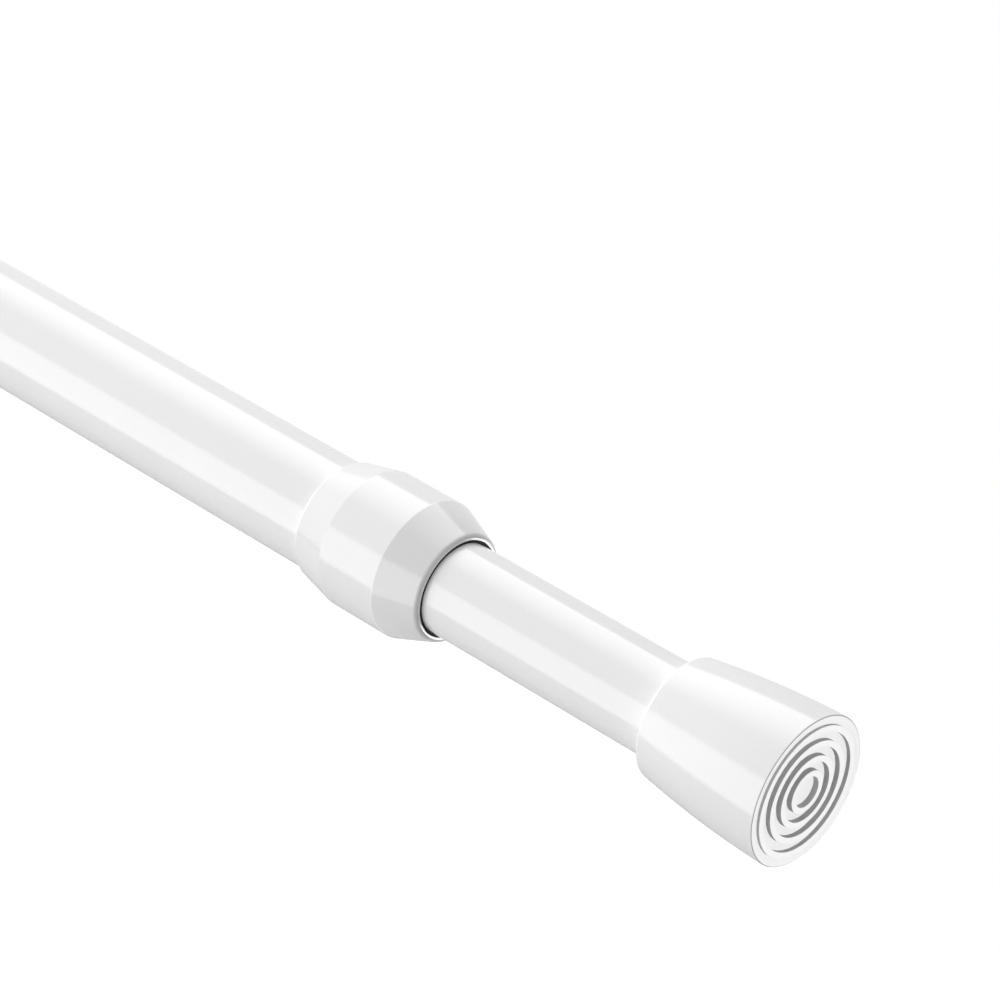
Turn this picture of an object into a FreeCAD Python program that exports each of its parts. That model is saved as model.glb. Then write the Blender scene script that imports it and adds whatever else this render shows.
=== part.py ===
import FreeCAD, Part
import math
import os

# Spring tension rod: a thin tube slides in a thicker one, and a rubber foot on each end presses on a wall.
# An eccentric twist lock grips the outer tube at the wanted length, and a push spring inside the inner
# tube drives the sliding foot outwards from that lock.
# Millimetres. X runs along the rod, from the contact face of the fixed foot towards the sliding foot; Z is up.

Vector = FreeCAD.Vector
AXIS = Vector(1, 0, 0)

# Tubes
outer_tube_diameter = 16.0
outer_tube_wall = 0.6
outer_tube_length = 370.0
inner_tube_diameter = 13.1
inner_tube_wall = 0.5
exposed_length = 38.3

# Feet: moulded rubber caps, barrel shaped
foot_length = 20.5
foot_floor = 4.5
foot_neck_wall = 1.85
foot_flare = 1.95
foot_bulge = 0.34

# Tread on the sliding foot: raised rings on the wall face
ring_count = 4
ring_share = 0.42
groove_depth = 0.78
rim_step = 0.32
face_recess_radius = 2.1
face_rim_width = 1.39

# Collar: pressed on the mouth of the outer tube
collar_rear_wall = 0.6
collar_belt_wall = 1.92
collar_lip_wall = 0.7
collar_rear_length = 5.9
collar_belt_length = 9.8
collar_nose_length = 6.0
collar_shoulder_depth = 8.7
collar_bore_clearance = 0.41

# Guide plug in the inner end of the inner tube, and spring stop further in, seated on a rolled bead
guide_flange_length = 2.5
guide_body_length = 13.5
stop_length = 8.0
bead_depth = 0.8
bead_width = 3.0

# Plunger: a headed hexagon spindle, stepped down for the lock
spindle_flats = 5.0
tenon_flats = 4.0
plunger_head_diameter = 11.0
plunger_head_length = 3.0
spring_stroke = 20.0
stroke_margin = 2.0

# Spring
spring_length = 60.0
spring_mean_diameter = 9.4
spring_wire = 1.3
spring_turns = 7
wire_sides = 6
chords_per_turn = 11

# Twist lock: eccentric journal between two flanges, split ring and screw; the gap leads to the fixed foot's floor
lock_rest_gap = 24.7
cam_flange_diameter = 13.0
cam_flange_length = 1.8
journal_diameter = 8.4
journal_length = 9.2
journal_offset = 0.8
lock_ring_float = 0.45
lock_ring_end_play = 0.3
lock_ring_split = 5.6
lock_ring_grooves = 11
lock_ring_groove_width = 1.0
lock_ring_groove_depth = 0.35
screw_diameter = 2.5
screw_length = 8.0
screw_head_diameter = 5.6
screw_head_length = 2.0
screw_slot_width = 0.8
screw_slot_depth = 1.0

# Clearances: between pieces fixed to each other, between pieces that slide, and in the outer tube's bore
fixed_fit = 0.03
sliding_fit = 0.1
bore_fit = 0.25

# Radii that several pieces share
outer_radius = outer_tube_diameter / 2
outer_bore = outer_radius - outer_tube_wall
inner_radius = inner_tube_diameter / 2
inner_bore = inner_radius - inner_tube_wall

# Stations along the rod, at rest
outer_start = foot_floor
outer_end = outer_start + outer_tube_length
collar_front = outer_end + collar_shoulder_depth
belt_end = collar_front - collar_nose_length
belt_start = belt_end - collar_belt_length
collar_rear = belt_start - collar_rear_length
sliding_neck = collar_front + exposed_length
sliding_face = sliding_neck + foot_length
inner_end = sliding_face - foot_floor
screw_front = outer_start + lock_rest_gap
cam_start = screw_front + screw_head_length
journal_start = cam_start + cam_flange_length
journal_end = journal_start + journal_length
cam_end = journal_end + cam_flange_length
guide_start = cam_end + stroke_margin + spring_stroke
inner_start = guide_start + guide_flange_length
guide_end = inner_start + guide_body_length
head_start = guide_end + sliding_fit
spring_start = head_start + plunger_head_length
spring_end = spring_start + spring_length
stop_start = spring_end + sliding_fit
stop_end = stop_start + stop_length


def turned(edges):
    """The solid of revolution, about the rod's axis, of a closed half section in the plane of X and Z."""
    return Part.Face(Part.Wire(edges)).revolve(Vector(), AXIS, 360)


def turned_outline(*corners):
    """A turned solid whose half section has straight sides between corners (x, radius)."""
    points = [Vector(x, 0, radius) for x, radius in corners]
    return turned(Part.makePolygon(points + points[:1]).Edges)


def disc(start, end, radius, offset=0.0):
    """A cylinder along the rod, with its own axis lifted by an offset."""
    return Part.makeCylinder(radius, end - start, Vector(start, 0, offset), AXIS)


def hexagon_bar(start, end, flats):
    """A bar along the rod with a hexagon section, given by the distance across its flats."""
    corner_radius = flats / math.sqrt(3)
    angles = [math.radians(60 * index) for index in range(7)]
    corners = [Vector(start, corner_radius * math.cos(a), corner_radius * math.sin(a)) for a in angles]
    return Part.Face(Part.makePolygon(corners)).extrude(AXIS * (end - start))


def tube(start, end, radius, wall):
    return turned_outline((start, radius), (end, radius), (end, radius - wall), (start, radius - wall))


def foot(tube_radius):
    """A barrel-shaped cap for a tube's end, facing -X, with its contact face in the plane X = 0."""
    neck_radius = tube_radius + foot_neck_wall
    face_radius = neck_radius + foot_flare
    middle_radius = (face_radius + neck_radius) / 2 + foot_bulge
    socket_radius = tube_radius + fixed_fit
    return turned_outline(
        (0, 0),
        (0, face_radius),
        (foot_length / 2, middle_radius),
        (foot_length, neck_radius),
        (foot_length, socket_radius),
        (foot_floor, socket_radius),
        (foot_floor, 0),
    )


def tread_cuts(face_radius):
    """What leaves raised rings on a foot's face: a recess at the centre, the grooves and a step along the rim."""
    ring_zone = face_radius - face_rim_width
    pitch = (ring_zone - face_recess_radius) / (ring_count - 1 + ring_share)
    cuts = [disc(0, groove_depth, face_recess_radius)]
    for index in range(1, ring_count):
        outer = face_recess_radius + index * pitch
        inner = outer - (1 - ring_share) * pitch
        cuts.append(turned_outline((0, inner), (0, outer), (groove_depth, outer), (groove_depth, inner)))
    cuts.append(disc(0, rim_step, 2 * face_radius).cut(disc(0, rim_step, ring_zone)))
    return cuts


def sliding_foot():
    """The inner tube's foot, with its tread, turned round to face +X."""
    face_radius = inner_radius + foot_neck_wall + foot_flare
    cap = foot(inner_radius).cut(tread_cuts(face_radius)).mirror(Vector(), AXIS)
    cap.translate(Vector(sliding_face, 0, 0))
    return cap


def inner_tube():
    """The sliding tube, with a rolled bead that stands inwards behind the spring stop."""
    bead_middle = stop_end + bead_width / 2
    bead_end = stop_end + bead_width
    return turned_outline(
        (inner_start, inner_radius),
        (stop_end, inner_radius),
        (bead_middle, inner_radius - bead_depth),
        (bead_end, inner_radius),
        (inner_end, inner_radius),
        (inner_end, inner_bore),
        (bead_end, inner_bore),
        (bead_middle, inner_bore - bead_depth),
        (stop_end, inner_bore),
        (inner_start, inner_bore),
    )


def collar():
    """A belt that tapers a little to the rear and more to the front, stepped inside for the tube's end."""
    bore = inner_radius + collar_bore_clearance
    seat = outer_radius + fixed_fit
    belt_radius = outer_radius + collar_belt_wall
    return turned_outline(
        (collar_rear, outer_radius + collar_rear_wall),
        (belt_start, belt_radius),
        (belt_end, belt_radius),
        (collar_front, bore + collar_lip_wall),
        (collar_front, bore),
        (outer_end, bore),
        (outer_end, seat),
        (collar_rear, seat),
    )


def guide_plug():
    """The bush pressed into the inner tube, which guides the spindle, with a flange that runs in the outer tube."""
    flange = disc(guide_start, inner_start, outer_bore - bore_fit)
    body = disc(inner_start, guide_end, inner_bore - fixed_fit)
    return flange.fuse(body).cut(hexagon_bar(guide_start, guide_end, spindle_flats + 2 * sliding_fit))


def spring_stop():
    """The plug that the spring pushes against the inner tube's bead."""
    return disc(stop_start, stop_end, inner_bore - fixed_fit)


def plunger():
    """The spindle with its tenon for the lock, a tapped end and a head that carries the spring."""
    tenon = hexagon_bar(cam_start + fixed_fit, cam_end, tenon_flats)
    spindle = hexagon_bar(cam_end, head_start, spindle_flats)
    head = disc(head_start, spring_start, plunger_head_diameter / 2)
    tapped_hole = disc(cam_start, cam_start + screw_length, screw_diameter / 2 + fixed_fit)
    return tenon.fuse([spindle, head]).cut(tapped_hole)


def compression_spring():
    """A coil with both ends ground flat. Its wire follows short chords, which keeps its faces few."""
    mean_radius = spring_mean_diameter / 2
    pitch = spring_length / spring_turns
    first_station = spring_start - spring_wire / 2
    path = []
    for index in range(math.ceil((spring_turns + spring_wire / pitch) * chords_per_turn) + 1):
        turns = index / chords_per_turn
        angle = 2 * math.pi * turns
        path.append(
            Vector(first_station + pitch * turns, mean_radius * math.cos(angle), mean_radius * math.sin(angle))
        )
    heading = (path[1] - path[0]).normalize()
    across = heading.cross(AXIS).normalize()
    upright = heading.cross(across)
    corner_radius = spring_wire / 2 / math.cos(math.pi / wire_sides)
    section = []
    for index in range(wire_sides + 1):
        angle = 2 * math.pi * (index + 0.5) / wire_sides
        corner = across * math.cos(angle) + upright * math.sin(angle)
        section.append(path[0] + corner * corner_radius)
    mitred_corners = 1
    coil = Part.makePolygon(path).makePipeShell([Part.makePolygon(section)], True, False, mitred_corners)
    return coil.common(disc(spring_start, spring_end, spring_mean_diameter))


def lock_cam():
    """The eccentric journal between its two flanges, with a hexagon hole for the plunger's tenon."""
    journal = disc(journal_start, journal_end, journal_diameter / 2, journal_offset)
    flanges = [
        disc(cam_start, journal_start, cam_flange_diameter / 2),
        disc(journal_end, cam_end, cam_flange_diameter / 2),
    ]
    return journal.fuse(flanges).cut(hexagon_bar(cam_start, cam_end, tenon_flats + 2 * fixed_fit))


def lock_ring():
    """The split ring that the journal wedges against the outer tube, grooved lengthwise for grip."""
    start = journal_start + lock_ring_end_play
    end = journal_end - lock_ring_end_play
    radius = outer_bore - bore_fit
    ring = disc(start, end, radius)
    bore = disc(start, end, journal_diameter / 2 + lock_ring_float, journal_offset)
    split = Part.makeBox(end - start, lock_ring_split, radius, Vector(start, -lock_ring_split / 2, 0))
    cuts = [bore, split]
    split_angle = 2 * math.degrees(math.asin(lock_ring_split / 2 / radius))
    groove_pitch = (360 - split_angle) / (lock_ring_grooves + 1)
    for index in range(lock_ring_grooves):
        groove = Part.makeBox(
            end - start,
            lock_ring_groove_width,
            2 * lock_ring_groove_depth,
            Vector(start, -lock_ring_groove_width / 2, radius - lock_ring_groove_depth),
        )
        groove.rotate(Vector(), AXIS, split_angle / 2 + groove_pitch * (index + 1))
        cuts.append(groove)
    return ring.cut(cuts)


def lock_screw():
    """The slotted screw that holds the cam on the plunger's tenon."""
    head = disc(screw_front, cam_start, screw_head_diameter / 2)
    shank = disc(cam_start, cam_start + screw_length - fixed_fit, screw_diameter / 2)
    slot = Part.makeBox(
        screw_slot_depth,
        screw_head_diameter,
        screw_slot_width,
        Vector(screw_front, -screw_head_diameter / 2, -screw_slot_width / 2),
    )
    return head.fuse(shank).cut(slot)


nodes = {
    "outer_tube": tube(outer_start, outer_end, outer_radius, outer_tube_wall),
    "collar": collar(),
    "fixed_foot": foot(outer_radius),
    "inner_tube": inner_tube(),
    "sliding_foot": sliding_foot(),
    "guide_plug": guide_plug(),
    "spring_stop": spring_stop(),
    "compression_spring": compression_spring(),
    "plunger": plunger(),
    "lock_cam": lock_cam(),
    "lock_ring": lock_ring(),
    "lock_screw": lock_screw(),
}

os.makedirs("parts", exist_ok=True)
for name, solid in nodes.items():
    solid.exportStep(f"parts/{name}.step")
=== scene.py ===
import math

import bpy
import numpy as np
from mathutils import Matrix, Vector


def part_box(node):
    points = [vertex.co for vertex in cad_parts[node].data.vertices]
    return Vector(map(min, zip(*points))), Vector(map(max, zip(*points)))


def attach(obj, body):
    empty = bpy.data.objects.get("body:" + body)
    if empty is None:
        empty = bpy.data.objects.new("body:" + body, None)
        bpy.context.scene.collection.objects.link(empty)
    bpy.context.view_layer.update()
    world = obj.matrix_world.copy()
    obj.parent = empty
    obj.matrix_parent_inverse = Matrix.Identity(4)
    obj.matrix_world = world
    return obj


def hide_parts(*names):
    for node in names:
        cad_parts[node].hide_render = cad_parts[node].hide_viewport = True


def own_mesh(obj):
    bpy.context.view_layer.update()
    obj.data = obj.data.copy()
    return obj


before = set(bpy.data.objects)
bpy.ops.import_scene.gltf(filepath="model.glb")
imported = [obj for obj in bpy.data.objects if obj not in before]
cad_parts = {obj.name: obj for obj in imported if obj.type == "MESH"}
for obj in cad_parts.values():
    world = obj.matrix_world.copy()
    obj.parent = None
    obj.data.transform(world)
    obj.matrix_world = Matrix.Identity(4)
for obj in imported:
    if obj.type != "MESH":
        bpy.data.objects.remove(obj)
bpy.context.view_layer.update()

# Spring tension rod: white enamelled tubes, a moulded collar and two rubber feet with a ring tread.
# Sizes are in millimetres, as stations along the rod (X) and radii about it; objects are made in metres.
MM = 0.001

# Tubes
outer_wall = 0.6
inner_wall = 0.5
tube_edge = 0.12
bead_depth = 0.8
bead_width = 3.0
bead_rounding = 0.8

# Feet: barrel-shaped caps, whose flank is one arc with a short straight stretch at each end
foot_neck_wall = 1.85
foot_flare = 1.88
foot_bulge = 0.34
foot_floor = 4.5
foot_neck_rounding = 0.6
foot_rim_rounding = 0.18
flank_margin = 1.0
fixed_fit = 0.03

# Tread on a foot's wall face
ring_count = 4
ring_share = 0.42
ring_rounding = 0.05
groove_depth = 0.78
floor_rise = 0.48
face_recess_radius = 2.1
face_rim_width = 1.32
rim_depth = 0.41
rim_step = 0.125

# Collar
collar_rear_wall = 0.6
collar_belt_wall = 1.92
collar_lip_wall = 0.7
collar_rear_length = 5.9
collar_nose_length = 6.0
collar_bore_clearance = 0.41
collar_rear_rounding = 0.45
collar_belt_rounding = 1.0
collar_shoulder_rounding = 0.45
collar_nose_rounding = 0.76
collar_mouth_rounding = 0.04

# The collar's mouth: a thin lip, set back a little, runs round the sliding tube, painted black as shadow
shadow_lip_setback = 0.05
shadow_lip_thickness = 0.3
shadow_lip_clearance = 0.05
shadow_lip_rounding = 0.02

# Spring: its mean diameter, the thickness of its wire and its number of turns
spring_mean_diameter = 9.4
spring_wire = 1.3
spring_turns = 7

# How finely the surfaces are divided
turns_division = 192
wire_division = 20
spring_steps_per_turn = 64
longest_step = 8.0
arc_step = math.radians(9)
longest_arc_step = 1.5

# Edges with painted shade (groove walls, a fine line at the rim) or a painted highlight (neck, rear edge,
# shoulder, mouth flat): how deep the painted shade is, and between which two shares of the edge's turn the
# mark sets in, or fades
groove_wall_shade = 0.58
rim_line_shade = 0.75
groove_wall_turn = 0.9, 0.6
rim_line_start = 0, 0.25
rim_line_end = 0.75, 0.9
neck_edge_turn = 0.2, 0.35
rear_edge_turn = 0.25, 0.4
shoulder_start = 0, 0.4
shoulder_end = 0.6, 1
mouth_flat_turn = 0.9, 0.98

# Camera: where it stands, which way it looks and how long its lens is
camera_place = (641.3, -261.6, 276.2)
camera_azimuth = math.radians(43.76)
camera_elevation = math.radians(35.49)
lens_length = 127.58
sensor_width = 36.0

# Studio: the sky's radiance, how it falls along the rod and rises with height, and the floor
sky_level = 0.565
sky_fall_along = 0.505
sky_rise = 0.06
floor_drop = 250.0
floor_corners = (-700.0, -700.0), (400.0, 220.0)
floor_shade = 0.57
floor_glow = 0.61

# Light panels: how steeply they fade across, and the angles about the rod, in degrees from +Y towards +Z, of
# its low side away from the camera and of its high side towards it
panel_fade_power = 1.5
far_low_side = -44.7
near_high_side = 135.0


def span(node):
    """The stations, in millimetres along the rod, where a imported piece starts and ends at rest."""
    low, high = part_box(node)
    return low[0] / MM, high[0] / MM


def reach(node):
    """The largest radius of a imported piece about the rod's axis, in millimetres."""
    low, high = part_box(node)
    return max(-low[1], high[1], -low[2], high[2]) / MM


outer_radius = reach("outer_tube")
inner_radius = reach("inner_tube")
outer_start, outer_end = span("outer_tube")
inner_start, inner_end = span("inner_tube")
collar_rear, collar_front = span("collar")
fixed_face, fixed_neck = span("fixed_foot")
sliding_face = span("sliding_foot")[1]
spring_start, spring_end = span("compression_spring")
bead_start = span("spring_stop")[1]


class Field:
    """A node's output. Arithmetic on it adds Math nodes to the same tree."""

    def __init__(self, nodes, socket):
        self.nodes = nodes
        self.socket = socket

    def math(self, operation, first, second):
        return self.nodes.node("ShaderNodeMath", {"operation": operation}, {0: first, 1: second})

    def __add__(self, other):
        return self.math("ADD", self, other)

    __radd__ = __add__

    def __sub__(self, other):
        return self.math("SUBTRACT", self, other)

    def __rsub__(self, other):
        return self.math("SUBTRACT", other, self)

    def __mul__(self, other):
        return self.math("MULTIPLY", self, other)

    __rmul__ = __mul__

    def __pow__(self, other):
        return self.math("POWER", self, other)


class Nodes:
    """The node tree of a material, a lamp or the world, emptied."""

    def __init__(self, owner):
        owner.use_nodes = True
        self.tree = owner.node_tree
        self.tree.nodes.clear()

    def node(self, kind, settings=None, inputs=None, output=0):
        """Adds a node: first its settings, then values or links for its sockets. Returns an output."""
        made = self.tree.nodes.new(kind)
        for name, value in (settings or {}).items():
            setattr(made, name, value)
        for key, value in (inputs or {}).items():
            if isinstance(value, Field):
                self.tree.links.new(value.socket, made.inputs[key])
            else:
                made.inputs[key].default_value = value
        return Field(self, made.outputs[output]) if made.outputs else None

    def clamp(self, value):
        """A value kept between 0 and 1."""
        return self.node("ShaderNodeClamp", inputs={"Value": value})

    def component(self, vector, axis):
        """One of a vector's three components, named X, Y or Z."""
        return self.node("ShaderNodeSeparateXYZ", inputs={"Vector": vector}, output=axis)

    def noise(self, scale, detail, stretch=(1.0, 1.0, 1.0)):
        """Noise from 0 to 1 on the piece's own coordinates, so many waves to the metre, stretched by axis."""
        place = self.node("ShaderNodeTexCoord", output="Object")
        place = self.node("ShaderNodeMapping", inputs={"Vector": place, "Scale": stretch})
        return self.node("ShaderNodeTexNoise", inputs={"Vector": place, "Scale": scale, "Detail": detail})

    def bump(self, height, strength, depth):
        """A normal that leans with a height field, which stands for that depth in millimetres."""
        relief = {"Height": height, "Strength": strength, "Distance": depth * MM}
        return self.node("ShaderNodeBump", inputs=relief)

    def mark(self, name):
        """A piece's own mark of that name, from 0 to 1."""
        return self.node("ShaderNodeAttribute", {"attribute_name": name}, output="Fac")

    def blend(self, share, first, second):
        """A colour between two, which the Mix node holds in its sockets 6 and 7, by a share that varies."""
        return self.node("ShaderNodeMix", {"data_type": "RGBA"}, {0: share, 6: first, 7: second}, 2)


def spread(share, low, high):
    """A value from low to high, as a share goes from 0 to 1."""
    return low + share * (high - low)


def shade(value, warmth=0.0):
    """A near-white colour of that linear level; warmth lowers blue and lifts red a little."""
    return (value * (1 + warmth), value, value * (1 - warmth), 1.0)


# Finishes: the whites of the white pieces, a painted highlight white, the greys of painted shade and shadow,
# the gloss that they share, and how much rougher the painted-dark lip and the tread are
patchy_white = shade(0.79), shade(0.83)
painted_highlight_white = shade(0.98)
painted_shade_grey = shade(0.16)
painted_gap_shadow = shade(0.01)
gloss = {"IOR": 1.5, "Coat Roughness": 0.12}
lip_roughness = 0.6
tread_roughness = 0.7


def moulded_white(nodes, patches):
    """The white of a moulded piece: patchy over its sides, with a painted highlight of near-pure white on its
    marked edges.
    """
    return nodes.blend(nodes.mark("painted_highlight"), nodes.blend(patches, *patchy_white), painted_highlight_white)


def white_enamel(nodes):
    """Baked white paint: a faint orange peel under gloss, a little thinner and rougher in patches."""
    patches = nodes.noise(scale=70, detail=3)
    peel = nodes.noise(scale=700, detail=2)
    return {
        **gloss,
        "Base Color": nodes.blend(patches, *patchy_white),
        "Roughness": spread(patches, 0.14, 0.2),
        "Coat Weight": 1.0,
        "Normal": nodes.bump(peel, strength=0.05, depth=0.05),
    }


def white_plastic(nodes):
    """Polished moulded plastic, with a faint flow along the rod and painted shadow on its mouth's lip."""
    flow = nodes.noise(scale=60, detail=3, stretch=(0.35, 1.0, 1.0))
    grain = nodes.noise(scale=1400, detail=1)
    painted_shade = nodes.mark("painted_shade")
    return {
        **gloss,
        "Base Color": nodes.blend(painted_shade, moulded_white(nodes, flow), painted_gap_shadow),
        "Roughness": spread(flow, 0.14, 0.2) + painted_shade * lip_roughness,
        "Coat Weight": 1 - painted_shade,
        "Normal": nodes.bump(grain, strength=0.04, depth=0.04),
    }


def white_rubber(nodes):
    """Glossy moulded rubber with a matt tread; painted shade darkens its groove walls and a fine line at its
    rim.
    """
    cloud = nodes.noise(scale=90, detail=3)
    grain = nodes.noise(scale=1800, detail=1)
    painted_shade = nodes.mark("painted_shade")
    matt = nodes.mark("matt")
    return {
        **gloss,
        "Base Color": nodes.blend(painted_shade, moulded_white(nodes, cloud), painted_shade_grey),
        "Roughness": spread(cloud, 0.15, 0.21) + matt * tread_roughness,
        "Coat Weight": (1 - painted_shade) * (1 - matt),
        "Normal": nodes.bump(grain, strength=0.05, depth=0.04),
    }


def natural_nylon(nodes):
    """Unpigmented nylon: warm, waxy, with a fine moulded grain."""
    cloud = nodes.noise(scale=250, detail=3)
    grain = nodes.noise(scale=2500, detail=2)
    return {
        "Base Color": nodes.blend(cloud, shade(0.62, 0.05), shade(0.7, 0.04)),
        "Roughness": spread(cloud, 0.4, 0.55),
        "Subsurface Weight": 0.15,
        "Subsurface Radius": (0.001, 0.001, 0.0008),
        "Normal": nodes.bump(grain, strength=0.15, depth=0.05),
    }


def zinc_steel(nodes):
    """Bright zinc plate over drawn wire and bar, with fine lines along the rod."""
    bloom = nodes.noise(scale=180, detail=3)
    lines = nodes.noise(scale=4000, detail=2, stretch=(0.04, 1.0, 1.0))
    return {
        "Base Color": nodes.blend(bloom, (0.5, 0.51, 0.53, 1.0), (0.62, 0.63, 0.64, 1.0)),
        "Metallic": 1.0,
        "Roughness": spread(bloom, 0.26, 0.38),
        "Normal": nodes.bump(lines, strength=0.1, depth=0.03),
    }


def make_finish(build):
    """A material, named for its own function, whose Principled inputs come from build(nodes)."""
    material = bpy.data.materials.new(build.__name__)
    nodes = Nodes(material)
    surface = nodes.node("ShaderNodeBsdfPrincipled", inputs=build(nodes))
    nodes.node("ShaderNodeOutputMaterial", inputs={"Surface": surface})
    return material


def corner_arc(place, rounding, before, after):
    """The points and normals of a rounded corner, between the headings of the sides before and after it.

    Where the sides turn by an angle t, an arc of the rounding's radius c starts c * tan(t / 2) before the
    corner. Along it the normal sweeps evenly from one side's normal to the other's, and each point is the
    arc's centre plus or minus c times the normal. A side's normal is its heading turned a quarter left.
    """
    turn = math.atan2(before[0] * after[1] - before[1] * after[0], before @ after)
    steps = math.ceil(max(abs(turn) / arc_step, abs(turn) * rounding / longest_arc_step, 2))
    angle = math.atan2(before[0], -before[1]) + turn * np.linspace(0, 1, steps + 1)
    normals = np.stack([np.cos(angle), np.sin(angle)], 1)
    start = place - before * rounding * math.tan(abs(turn) / 2)
    return start - math.copysign(rounding, turn) * (normals - normals[0]), normals


def rounded_section(corners, closed):
    """Half section of a turned piece: straight sides between corners (station, radius, rounding).

    The material lies on the right of the path. Long sides are divided evenly, and the two ends of an open
    section stay sharp. Returns the points and the normals as two (n, 2) arrays.
    """
    places = np.array([corner[:2] for corner in corners], float)
    roundings = [corner[2] for corner in corners]
    sides = np.roll(places, -1, 0) - places
    headings = sides / np.linalg.norm(sides, axis=1)[:, None]
    side_normals = np.stack([-headings[:, 1], headings[:, 0]], 1)
    arcs = [corner_arc(*corner) for corner in zip(places, roundings, np.roll(headings, 1, 0), headings)]
    if not closed:
        arcs[0] = places[:1], side_normals[:1]
        arcs[-1] = places[-1:], side_normals[-2:-1]
    points, normals = [], []
    for index, (arc, arc_normals) in enumerate(arcs):
        points.append(arc)
        normals.append(arc_normals)
        if closed or index < len(arcs) - 1:
            start, end = arc[-1], arcs[(index + 1) % len(arcs)][0][0]
            steps = math.ceil(np.linalg.norm(end - start) / longest_step)
            between = start + (end - start) * np.linspace(0, 1, steps + 1)[1:-1, None]
            points.append(between)
            normals.append(np.repeat(side_normals[index:index + 1], len(between), 0))
    return np.concatenate(points), np.concatenate(normals)


def mesh_piece(name, vertices, faces, normals=None):
    """A mesh object from vertices in millimetres, with its own smooth normals where they are given."""
    mesh = bpy.data.meshes.new(name)
    mesh.from_pydata((vertices * MM).tolist(), [], faces)
    mesh.shade_smooth()
    if normals is not None:
        mesh.normals_split_custom_set_from_vertices(normals.tolist())
    piece = bpy.data.objects.new(name, mesh)
    bpy.context.scene.collection.objects.link(piece)
    return piece


def turned_piece(name, corners, closed=True, marks=None):
    """A rounded half section carried round the rod: at angle a, (x, r) goes to (x, r cos a, r sin a).

    An open section starts and ends on the axis, and each of those points is one vertex that closes a fan.
    Marks gives values along the section, for the material to read.
    """
    section, section_normals = rounded_section(corners, closed)
    angle = np.arange(turns_division) * 2 * np.pi / turns_division
    circle = np.stack([np.cos(angle), np.sin(angle)], 1)

    def around(pairs):
        """Carries (along, across) pairs round the axis, one row of points for each pair."""
        along = np.broadcast_to(pairs[:, None, :1], (len(pairs), turns_division, 1))
        across = pairs[:, None, 1:] * circle[None]
        return np.concatenate([along, across], 2).reshape(-1, 3)

    rows = slice(None) if closed else slice(1, -1)
    vertices, normals = around(section[rows]), around(section_normals[rows])
    grid = np.arange(len(vertices)).reshape(-1, turns_division)
    ring = np.roll(grid, -1, 1)
    follow, follow_ring = np.roll(grid, -1, 0), np.roll(ring, -1, 0)
    last = None if closed else -1
    faces = np.stack([grid, ring, follow_ring, follow], 2)[:last].reshape(-1, 4).tolist()
    if not closed:
        first_pole, last_pole = len(vertices), len(vertices) + 1
        on_axis = np.array([1, 0, 0])
        vertices = np.concatenate([vertices, section[[0, -1], :1] * on_axis])
        normals = np.concatenate([normals, section_normals[[0, -1], :1] * on_axis])
        faces += np.stack([np.full(turns_division, first_pole), ring[0], grid[0]], 1).tolist()
        faces += np.stack([grid[-1], ring[-1], np.full(turns_division, last_pole)], 1).tolist()
    piece = mesh_piece(name, vertices, faces, normals)
    for mark, values in (marks(section, section_normals) if marks else {}).items():
        values_around = np.repeat(values[rows], turns_division)
        if not closed:
            values_around = np.concatenate([values_around, values[[0, -1]]])
        piece.data.attributes.new(mark, "FLOAT", "POINT").data.foreach_set("value", values_around)
    return piece


def place_piece(piece, body, node, material):
    """Dresses a piece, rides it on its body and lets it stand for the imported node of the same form."""
    piece.data.materials.append(material)
    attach(piece, body)
    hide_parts(node)
    return piece


def outer_tube_corners():
    """The thick tube, a plain sleeve with its edges broken."""
    bore = outer_radius - outer_wall
    return [
        (outer_start, outer_radius, tube_edge),
        (outer_end, outer_radius, tube_edge),
        (outer_end, bore, tube_edge),
        (outer_start, bore, tube_edge),
    ]


def inner_tube_corners():
    """The sliding tube, with the rolled bead that stands inwards behind the spring stop."""
    bore = inner_radius - inner_wall
    bead_middle = bead_start + bead_width / 2
    bead_end = bead_start + bead_width
    return [
        (inner_start, inner_radius, tube_edge),
        (bead_start, inner_radius, bead_rounding),
        (bead_middle, inner_radius - bead_depth, bead_rounding),
        (bead_end, inner_radius, bead_rounding),
        (inner_end, inner_radius, tube_edge),
        (inner_end, bore, tube_edge),
        (bead_end, bore, bead_rounding),
        (bead_middle, bore - bead_depth, bead_rounding),
        (bead_start, bore, bead_rounding),
        (inner_start, bore, tube_edge),
    ]


def collar_corners():
    """A belt that tapers a little to the rear and more to the front, stepped inside for the tube's end."""
    bore = inner_radius + collar_bore_clearance
    seat = outer_radius + fixed_fit
    belt_radius = outer_radius + collar_belt_wall
    shadow_lip_front = collar_front - shadow_lip_setback
    shadow_lip_radius = inner_radius + shadow_lip_clearance
    return [
        (collar_rear, outer_radius + collar_rear_wall, collar_rear_rounding),
        (collar_rear + collar_rear_length, belt_radius, collar_belt_rounding),
        (collar_front - collar_nose_length, belt_radius, collar_shoulder_rounding),
        (collar_front, bore + collar_lip_wall, collar_nose_rounding),
        (collar_front, bore, collar_mouth_rounding),
        # The thin lip from here on is painted black by collar_marks, as painted shadow for the gap round the
        # tube
        (shadow_lip_front, bore, shadow_lip_rounding),
        (shadow_lip_front, shadow_lip_radius, shadow_lip_rounding),
        (shadow_lip_front - shadow_lip_thickness, shadow_lip_radius, shadow_lip_rounding),
        (shadow_lip_front - shadow_lip_thickness, bore, shadow_lip_rounding),
        (outer_end, bore, collar_mouth_rounding),
        (outer_end, seat, collar_mouth_rounding),
        (collar_rear, seat, collar_mouth_rounding),
    ]


def rising(value, low, high):
    """From 0 where a value is at its low mark to 1 at its high mark; the marks may stand either way round."""
    return np.clip((value - low) / (high - low), 0, 1)


def band(value, start, end):
    """From 0 to 1 between the start's two marks, and back to 0 between the end's."""
    return np.minimum(rising(value, *start), 1 - rising(value, *end))


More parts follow.
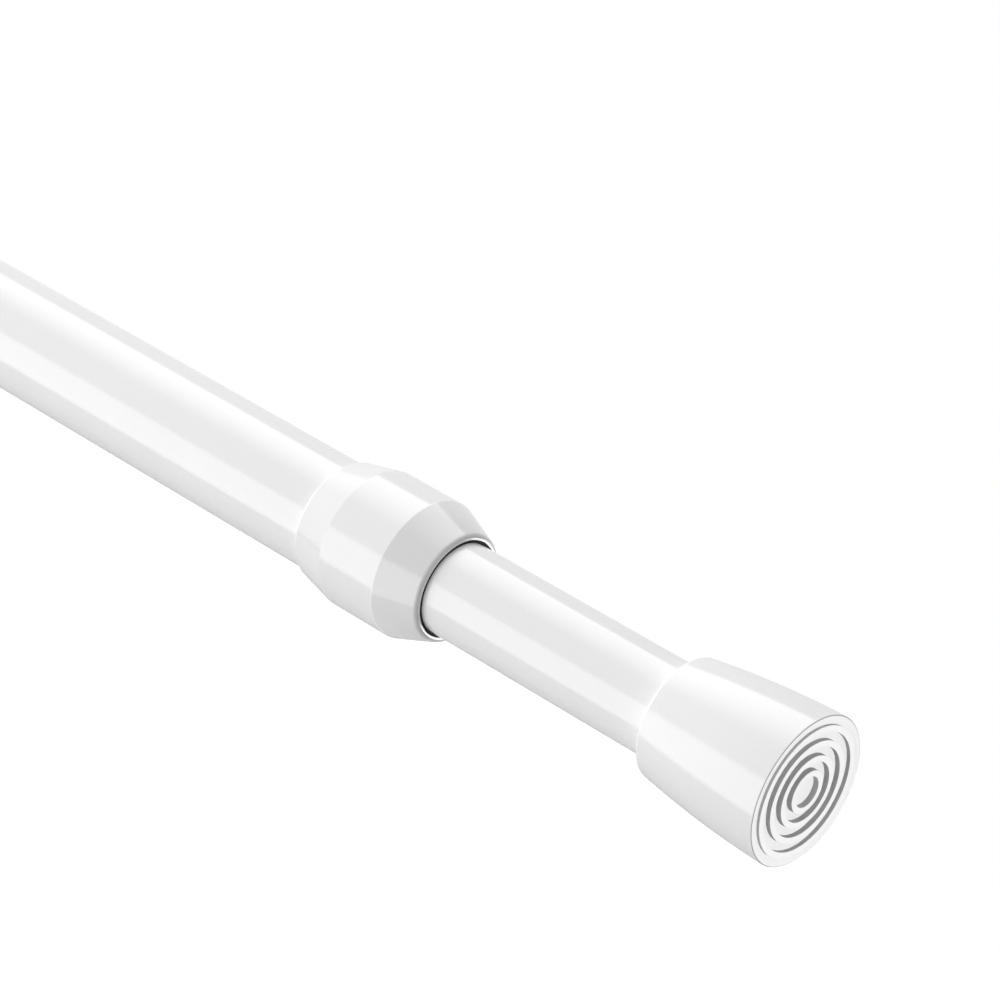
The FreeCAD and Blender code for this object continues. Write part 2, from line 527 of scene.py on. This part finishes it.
def collar_marks(section, normals):
    """Painted shadow on the collar's mouth lip; a painted highlight on its rear edge, shoulder and mouth
    flat.

    Along a rounding the normal's share along the rod tells how far the edge has turned.
    """
    station, radius = section.T
    turned = np.abs(normals[:, 0])
    bore = inner_radius + collar_bore_clearance
    nose_drop = outer_radius + collar_belt_wall - bore - collar_lip_wall
    nose_turn = math.sin(math.atan2(nose_drop, collar_nose_length))
    rear = (station < collar_rear + collar_rear_rounding) & (radius > outer_radius)
    shoulder = np.abs(station - collar_front + collar_nose_length) < collar_shoulder_rounding
    mouth = (station > collar_front - shadow_lip_setback / 2) & (radius > bore)
    # Painted shadow: the lip in the mouth is marked to be painted near-black
    lip = radius < bore - shadow_lip_rounding / 2
    # Painted highlight: the rear edge, shoulder and mouth flat are marked to be painted nearly white
    painted_highlight_edges = [
        rear * rising(turned, *rear_edge_turn),
        shoulder * band(turned / nose_turn, shoulder_start, shoulder_end),
        mouth * rising(turned, *mouth_flat_turn),
    ]
    return {"painted_shade": lip.astype(float), "painted_highlight": np.max(painted_highlight_edges, axis=0)}


def tread_corners(face_radius):
    """From the axis to the rim: a recess, raised rings between grooves, and the foot of a lower, dished rim.

    Stations count inwards from the rings' tops. The rings share the face evenly, from the recess to the rim.
    The floor between them rises outwards with the cube of the radius.
    """
    def floor(radius):
        return groove_depth - floor_rise * (radius / face_radius) ** 3

    ring_zone = face_radius - face_rim_width
    pitch = (ring_zone - face_recess_radius) / (ring_count - 1 + ring_share)
    corners = [(groove_depth, 0.0, 0.0)]
    for index in range(ring_count):
        inner = face_recess_radius + index * pitch
        outer = inner + ring_share * pitch
        foot_of_ring = rim_depth if index == ring_count - 1 else floor(outer)
        corners += [
            (floor(inner), inner, ring_rounding),
            (0.0, inner, ring_rounding),
            (0.0, outer, ring_rounding),
            (foot_of_ring, outer, ring_rounding),
        ]
    return corners


def foot_corners(tube_radius):
    """A barrel-shaped cap whose wall face looks to -X, from the middle of its tread to its socket's floor.

    The flank is one long arc: its corner stands twice the bulge above the middle of the chord.
    """
    neck_radius = tube_radius + foot_neck_wall
    face_radius = neck_radius + foot_flare
    socket_radius = tube_radius + fixed_fit
    length = fixed_neck - fixed_face
    middle_radius = (neck_radius + face_radius) / 2 + 2 * foot_bulge
    chord_angle = math.atan2(4 * foot_bulge, length)
    flank_radius = (length / 2 - flank_margin) / math.tan(chord_angle)
    return tread_corners(face_radius) + [
        (rim_step, face_radius, foot_rim_rounding),
        (length / 2, middle_radius, flank_radius),
        (length, neck_radius, foot_neck_rounding),
        (length, socket_radius, ring_rounding),
        (foot_floor, socket_radius, ring_rounding),
        (foot_floor, 0.0, 0.0),
    ]


def foot_marks(face):
    """Marks for a foot whose wall face stands at that station.

    Painted shade darkens the walls of its grooves, and a fine line where its rim turns into its flank. The
    edge of its neck gets a painted highlight, and its wall face is matt. Along a rounding the normal's share
    along the rod, or outwards, tells how far the edge has turned.
    """
    def marks(section, normals):
        depth, radius = np.abs(section[:, 0] - face), section[:, 1]
        turned, outward = np.abs(normals[:, 0]), normals[:, 1]
        rim = radius.max()
        length = fixed_neck - fixed_face
        on_face = depth < groove_depth + ring_rounding
        tread = on_face & (radius < rim - face_rim_width + ring_rounding)
        matt = on_face & (radius < rim - foot_rim_rounding / 2)
        edge = (depth < rim_step + 2 * foot_rim_rounding) & (radius > rim - 2 * foot_rim_rounding)
        neck = (depth > length - foot_neck_rounding) & (radius > rim - 2 * foot_flare)
        # Painted shade on the groove walls and on a fine line at the rim's edge; painted highlight on the
        # neck's edge
        walls = tread * rising(turned, *groove_wall_turn)
        line = edge * band(outward, rim_line_start, rim_line_end)
        return {
            "painted_shade": np.maximum(groove_wall_shade * walls, rim_line_shade * line),
            "painted_highlight": neck * rising(turned, *neck_edge_turn),
            "matt": matt.astype(float),
        }
    return marks


def spring_coil():
    """A round wire carried along a helix: at turn t its middle is at (start + pitch t, R cos, R sin).

    Across the wire, the circle is spanned by the outward direction and by the helix heading crossed with it.
    What would pass the two end planes is pressed onto them, which leaves the ends ground flat.
    """
    mean_radius = spring_mean_diameter / 2
    wire_radius = spring_wire / 2
    pitch = (spring_end - spring_start) / spring_turns
    turns = np.linspace(0, spring_turns + spring_wire / pitch, spring_steps_per_turn * spring_turns + 1)
    angle = 2 * np.pi * turns
    nothing = np.zeros_like(angle)
    outward = np.stack([nothing, np.cos(angle), np.sin(angle)], 1)
    onward = np.stack([nothing, -np.sin(angle), np.cos(angle)], 1)
    along = np.stack([nothing + 1, nothing, nothing], 1)
    middle = (spring_start - wire_radius + pitch * turns)[:, None] * along + mean_radius * outward
    heading = pitch * along + 2 * np.pi * mean_radius * onward
    heading /= np.linalg.norm(heading, axis=1)[:, None]
    sideways = np.cross(heading, outward)
    around = (np.arange(wire_division) * 2 * np.pi / wire_division)[None, :, None]
    offset = outward[:, None] * np.cos(around) + sideways[:, None] * np.sin(around)
    vertices = middle[:, None] + wire_radius * offset
    vertices[..., 0] = np.clip(vertices[..., 0], spring_start, spring_end)
    grid = np.arange(vertices.shape[0] * vertices.shape[1]).reshape(vertices.shape[:2])
    ring = np.roll(grid, -1, 1)
    quads = np.stack([grid[:-1], ring[:-1], ring[1:], grid[1:]], 2).reshape(-1, 4).tolist()
    caps = [grid[0, ::-1].tolist(), grid[-1].tolist()]
    return mesh_piece("push_spring", vertices.reshape(-1, 3), quads + caps)


# Pieces
enamel = make_finish(white_enamel)
plastic = make_finish(white_plastic)
rubber = make_finish(white_rubber)
nylon = make_finish(natural_nylon)
steel = make_finish(zinc_steel)

thick_tube = turned_piece("thick_tube", outer_tube_corners())
place_piece(thick_tube, "outer", "outer_tube", enamel)
thin_tube = turned_piece("thin_tube", inner_tube_corners())
place_piece(thin_tube, "inner", "inner_tube", enamel)
moulded_collar = turned_piece("moulded_collar", collar_corners(), True, collar_marks)
place_piece(moulded_collar, "outer", "collar", plastic)

far_foot = turned_piece("far_foot", foot_corners(outer_radius), False, foot_marks(fixed_face))
place_piece(far_foot, "outer", "fixed_foot", rubber)
near_corners = [(sliding_face - depth, *rest) for depth, *rest in reversed(foot_corners(inner_radius))]
near_foot = turned_piece("near_foot", near_corners, False, foot_marks(sliding_face))
place_piece(near_foot, "inner", "sliding_foot", rubber)

spring = place_piece(spring_coil(), "plunger", "compression_spring", steel)
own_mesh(spring)

for node, material in {
    "guide_plug": nylon,
    "spring_stop": nylon,
    "lock_cam": nylon,
    "lock_ring": nylon,
    "plunger": steel,
    "lock_screw": steel,
}.items():
    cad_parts[node].data.materials.clear()
    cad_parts[node].data.materials.append(material)


# Camera, looking down on the sliding foot's end of the rod
lens = bpy.data.cameras.new("camera")
lens.lens = lens_length
lens.sensor_width = sensor_width
camera = bpy.data.objects.new("camera", lens)
bpy.context.scene.collection.objects.link(camera)
camera.matrix_world = (
    Matrix.Translation(Vector(camera_place) * MM)
    @ Matrix.Rotation(camera_azimuth, 4, "Z")
    @ Matrix.Rotation(math.pi / 2 - camera_elevation, 4, "X")
)
bpy.context.scene.camera = camera


def towards(from_end, about):
    """The direction at one angle, in degrees, from the rod's +X end, and at another about the rod."""
    tilt, turn = math.radians(from_end), math.radians(about)
    return Vector((math.cos(tilt), math.sin(tilt) * math.cos(turn), math.sin(tilt) * math.sin(turn)))


def light_panel(name, station, outward, distance, size, radiance, peak=0.5, fall=0.0, full=1.0,
                lights=True, mirrored=True):
    """A soft rectangle of light that faces a station of the rod and lies as nearly along it as it can.

    Along its length the radiance falls from its peak's share u0 as 1 - fall (u - u0)^2. Across its width,
    counted from the edge where the angle about the rod is least, it stays full for a share of it, and then
    fades as one minus a power of the share of the rest. A panel may light the rod, show as a reflection on
    it, or do both.
    """
    length, width = (side * MM for side in size)
    lamp = bpy.data.lights.new(name, "AREA")
    lamp.shape = "RECTANGLE"
    lamp.size = length
    lamp.size_y = width
    lamp.energy = radiance * math.pi * length * width
    nodes = Nodes(lamp)
    place = nodes.node("ShaderNodeNewGeometry", output="Parametric")
    from_peak = nodes.component(place, "X") - peak
    strength = nodes.clamp(1 - from_peak * from_peak * fall)
    if full < 1:
        past_full = (1 - full - nodes.component(place, "Y")) * (1 / (1 - full))
        strength = strength * (1 - nodes.clamp(past_full) ** panel_fade_power)
    emission = nodes.node("ShaderNodeEmission", inputs={"Strength": strength})
    nodes.node("ShaderNodeOutputLight", inputs={"Surface": emission})
    panel = bpy.data.objects.new(name, lamp)
    bpy.context.scene.collection.objects.link(panel)
    rod = Vector((1, 0, 0))
    lengthwise = (rod - outward * rod.dot(outward)).normalized()
    turn = Matrix((lengthwise, outward.cross(lengthwise), outward)).transposed().to_4x4()
    panel.matrix_world = Matrix.Translation((rod * station + outward * distance) * MM) @ turn
    panel.visible_camera = False
    panel.visible_diffuse = lights
    panel.visible_glossy = mirrored


light_panel("top_panel", station=-75, outward=towards(90, 65), distance=600, size=(1650, 780),
            radiance=1.47, peak=0.57, fall=4.7, full=0.36)
light_panel("side_panel", station=150, outward=towards(90, 175.5), distance=500, size=(1000, 520),
            radiance=1.235, fall=0.3)
light_panel("low_panel", station=sliding_face, outward=towards(75, far_low_side), distance=250,
            size=(134, 160), radiance=0.9)
light_panel("front_panel", station=sliding_face, outward=towards(4, far_low_side), distance=2000,
            size=(200, 200), radiance=267, mirrored=False)
light_panel("mouth_panel", station=400, outward=towards(55.7, far_low_side), distance=500,
            size=(200, 200), radiance=3.8, lights=False)
light_panel("end_panel", station=300, outward=towards(170, near_high_side), distance=900,
            size=(360, 360), radiance=4.0, lights=False)

# Sky: white where the camera sees it, and a soft gradient for everything else
world = bpy.data.worlds.new("studio")
bpy.context.scene.world = world
sky = Nodes(world)
seen = sky.node("ShaderNodeLightPath", output="Is Camera Ray")
way = sky.node("ShaderNodeTexCoord", output="Generated")
sky_light = sky_level - sky.component(way, "X") * sky_fall_along + sky.component(way, "Z") * sky_rise
sky_strength = seen + (1 - seen) * sky_light
background = sky.node("ShaderNodeBackground", inputs={"Color": shade(1.0), "Strength": sky_strength})
sky.node("ShaderNodeOutputWorld", inputs={"Surface": background})


def studio_floor():
    """A pale floor that shows white where nothing shades it."""
    material = bpy.data.materials.new("studio_floor")
    nodes = Nodes(material)
    diffuse = nodes.node("ShaderNodeBsdfDiffuse", inputs={"Color": shade(floor_shade)})
    in_view = nodes.node("ShaderNodeLightPath", output="Is Camera Ray")
    glow = nodes.node("ShaderNodeEmission", inputs={"Strength": in_view * floor_glow})
    surface = nodes.node("ShaderNodeAddShader", inputs={0: diffuse, 1: glow})
    nodes.node("ShaderNodeOutputMaterial", inputs={"Surface": surface})
    (left, front), (right, back) = floor_corners
    corners = np.array([[left, front], [right, front], [right, back], [left, back]])
    corners = np.column_stack([corners, np.full(len(corners), -floor_drop)])
    floor = mesh_piece("studio_floor", corners, [[0, 1, 2, 3]])
    floor.data.materials.append(material)


studio_floor()
bpy.context.scene.view_settings.view_transform = "Standard"
